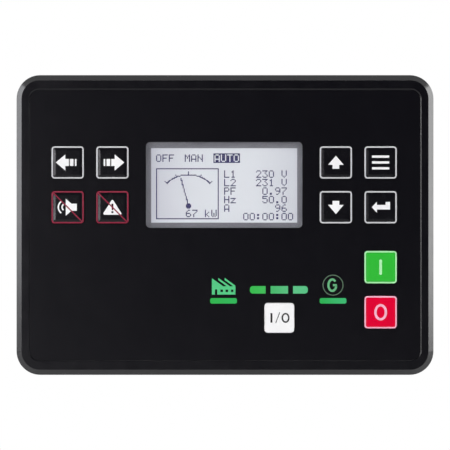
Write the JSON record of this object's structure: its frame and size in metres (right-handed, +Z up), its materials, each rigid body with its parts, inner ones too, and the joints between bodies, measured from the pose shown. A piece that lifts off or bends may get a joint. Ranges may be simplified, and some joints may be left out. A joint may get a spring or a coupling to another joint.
{
  "type": "genset controller",
  "caption": "Flush panel controller for a generator set: framed press keys round a dot-matrix display, status lamps, a boxed circuit behind with plug-in terminals, and screw clamps.",
  "frame": {"origin": "centre of the gasket's rear face, which is the face of the panel that the controller is set into", "axes": "+X to the right seen from the front, +Y from the front into the panel, +Z up"},
  "size_m": [0.185, 0.056, 0.133],
  "materials": {
    "bezel_plastic": "fine moulded texture",
    "foil_film": "satin film",
    "clear_pane": "clear, polished",
    "frame_grey": "satin paint",
    "display_cell": "smooth glass cell",
    "diffuser": "milky",
    "key_black": "satin",
    "key_green": "satin",
    "key_red": "satin",
    "key_white": "satin",
    "lamp_green": "translucent",
    "silicone": "matte",
    "circuit_board": "solder mask",
    "black_plastic": "moulded",
    "terminal_green": "moulded",
    "tinned_brass": "tinned",
    "screw_steel": "zinc plated",
    "relay_blue": "moulded",
    "capacitor_sleeve": "shrunk sleeve",
    "copper_winding": "enamelled",
    "housing_plastic": "fine moulded texture",
    "gasket_foam": "closed-cell foam",
    "clamp_plastic": "moulded",
    "print_white": "printed",
    "print_green": "printed",
    "display_ink": "dark dots of the display"
  },
  "bodies": {
    "case": {"bezel": "bezel_plastic", "front_foil": "foil_film", "display_window": "clear_pane", "display_frame": "frame_grey", "display_glass": "display_cell", "display_backlight": "diffuser", "display_board": "circuit_board", "load_lamp": "lamp_green", "generator_lamp": "lamp_green", "line_lamp_left": "lamp_green", "line_lamp_middle": "lamp_green", "line_lamp_right": "lamp_green", "dome_mat": "silicone", "keypad_board": "circuit_board", "indicator_leds": "diffuser", "keypad_screws": "screw_steel", "main_board": "circuit_board", "main_board_screws": "screw_steel", "link_socket": "black_plastic", "link_header": "black_plastic", "terminal_headers": "terminal_green", "terminal_pins": "tinned_brass", "terminal_screws": "screw_steel", "current_terminal": "terminal_green", "plug_upper_long": "terminal_green", "plug_upper_short": "terminal_green", "plug_lower_left": "terminal_green", "plug_lower_right": "terminal_green", "usb_socket": "screw_steel", "backup_cell": "screw_steel", "cell_holder": "black_plastic", "relays": "relay_blue", "capacitors": "capacitor_sleeve", "processor": "black_plastic", "choke": "copper_winding", "rear_housing": "housing_plastic", "module_cover": "housing_plastic", "gasket": "gasket_foam", "housing_screws": "screw_steel", "clamp_brackets": "clamp_plastic"},
    "key_left": {"key_left": "key_black"},
    "key_right": {"key_right": "key_black"},
    "key_horn_reset": {"key_horn_reset": "key_black"},
    "key_fault_reset": {"key_fault_reset": "key_black"},
    "key_up": {"key_up": "key_black"},
    "key_menu": {"key_menu": "key_black"},
    "key_down": {"key_down": "key_black"},
    "key_enter": {"key_enter": "key_black"},
    "key_start": {"key_start": "key_green"},
    "key_stop": {"key_stop": "key_red"},
    "key_breaker": {"key_breaker": "key_white"},
    "foot_1": {"clamp_foot_1": "lamp_green"},
    "screw_1": {"clamp_screw_1": "lamp_green"},
    "foot_2": {"clamp_foot_2": "lamp_green"},
    "screw_2": {"clamp_screw_2": "lamp_green"},
    "foot_3": {"clamp_foot_3": "lamp_green"},
    "screw_3": {"clamp_screw_3": "lamp_green"},
    "foot_4": {"clamp_foot_4": "lamp_green"},
    "screw_4": {"clamp_screw_4": "lamp_green"}
  },
  "joints": [
    {"name": "key_left_press", "type": "slide", "parent": "case", "child": "key_left", "axis": [0, 1, 0], "range_m": [0, 0.0007], "stiffness_N_per_m": 1000, "deforming": ["dome_mat"]},
    {"name": "key_right_press", "type": "slide", "parent": "case", "child": "key_right", "axis": [0, 1, 0], "range_m": [0, 0.0007], "stiffness_N_per_m": 1000, "deforming": ["dome_mat"]},
    {"name": "key_horn_reset_press", "type": "slide", "parent": "case", "child": "key_horn_reset", "axis": [0, 1, 0], "range_m": [0, 0.0007], "stiffness_N_per_m": 1000, "deforming": ["dome_mat"]},
    {"name": "key_fault_reset_press", "type": "slide", "parent": "case", "child": "key_fault_reset", "axis": [0, 1, 0], "range_m": [0, 0.0007], "stiffness_N_per_m": 1000, "deforming": ["dome_mat"]},
    {"name": "key_up_press", "type": "slide", "parent": "case", "child": "key_up", "axis": [0, 1, 0], "range_m": [0, 0.0007], "stiffness_N_per_m": 1000, "deforming": ["dome_mat"]},
    {"name": "key_menu_press", "type": "slide", "parent": "case", "child": "key_menu", "axis": [0, 1, 0], "range_m": [0, 0.0007], "stiffness_N_per_m": 1000, "deforming": ["dome_mat"]},
    {"name": "key_down_press", "type": "slide", "parent": "case", "child": "key_down", "axis": [0, 1, 0], "range_m": [0, 0.0007], "stiffness_N_per_m": 1000, "deforming": ["dome_mat"]},
    {"name": "key_enter_press", "type": "slide", "parent": "case", "child": "key_enter", "axis": [0, 1, 0], "range_m": [0, 0.0007], "stiffness_N_per_m": 1000, "deforming": ["dome_mat"]},
    {"name": "key_start_press", "type": "slide", "parent": "case", "child": "key_start", "axis": [0, 1, 0], "range_m": [0, 0.0007], "stiffness_N_per_m": 1000, "deforming": ["dome_mat"]},
    {"name": "key_stop_press", "type": "slide", "parent": "case", "child": "key_stop", "axis": [0, 1, 0], "range_m": [0, 0.0007], "stiffness_N_per_m": 1000, "deforming": ["dome_mat"]},
    {"name": "key_breaker_press", "type": "slide", "parent": "case", "child": "key_breaker", "axis": [0, 1, 0], "range_m": [0, 0.0007], "stiffness_N_per_m": 1000, "deforming": ["dome_mat"]},
    {"name": "clamp_foot_1_advance", "type": "slide", "parent": "case", "child": "foot_1", "axis": [0, 1, 0], "range_m": [-0.002, 0.003]},
    {"name": "clamp_screw_1_turn", "type": "hinge", "parent": "foot_1", "child": "screw_1", "pos_m": [-0.058, 0.02, 0.0605], "axis": [0, 1, 0], "range_deg": [-1029, 1543.5]},
    {"name": "clamp_foot_2_advance", "type": "slide", "parent": "case", "child": "foot_2", "axis": [0, 1, 0], "range_m": [-0.002, 0.003]},
    {"name": "clamp_screw_2_turn", "type": "hinge", "parent": "foot_2", "child": "screw_2", "pos_m": [0.058, 0.02, 0.0605], "axis": [0, 1, 0], "range_deg": [-1029, 1543.5]},
    {"name": "clamp_foot_3_advance", "type": "slide", "parent": "case", "child": "foot_3", "axis": [0, 1, 0], "range_m": [-0.002, 0.003]},
    {"name": "clamp_screw_3_turn", "type": "hinge", "parent": "foot_3", "child": "screw_3", "pos_m": [-0.058, 0.02, -0.0605], "axis": [0, 1, 0], "range_deg": [-1029, 1543.5]},
    {"name": "clamp_foot_4_advance", "type": "slide", "parent": "case", "child": "foot_4", "axis": [0, 1, 0], "range_m": [-0.002, 0.003]},
    {"name": "clamp_screw_4_turn", "type": "hinge", "parent": "foot_4", "child": "screw_4", "pos_m": [0.058, 0.02, -0.0605], "axis": [0, 1, 0], "range_deg": [-1029, 1543.5]}
  ],
  "couplings": [
    {"joint": "clamp_screw_1_turn", "follows": "clamp_foot_1_advance", "rad_per_m": 8976},
    {"joint": "clamp_screw_2_turn", "follows": "clamp_foot_2_advance", "rad_per_m": 8976},
    {"joint": "clamp_screw_3_turn", "follows": "clamp_foot_3_advance", "rad_per_m": 8976},
    {"joint": "clamp_screw_4_turn", "follows": "clamp_foot_4_advance", "rad_per_m": 8976}
  ]
}
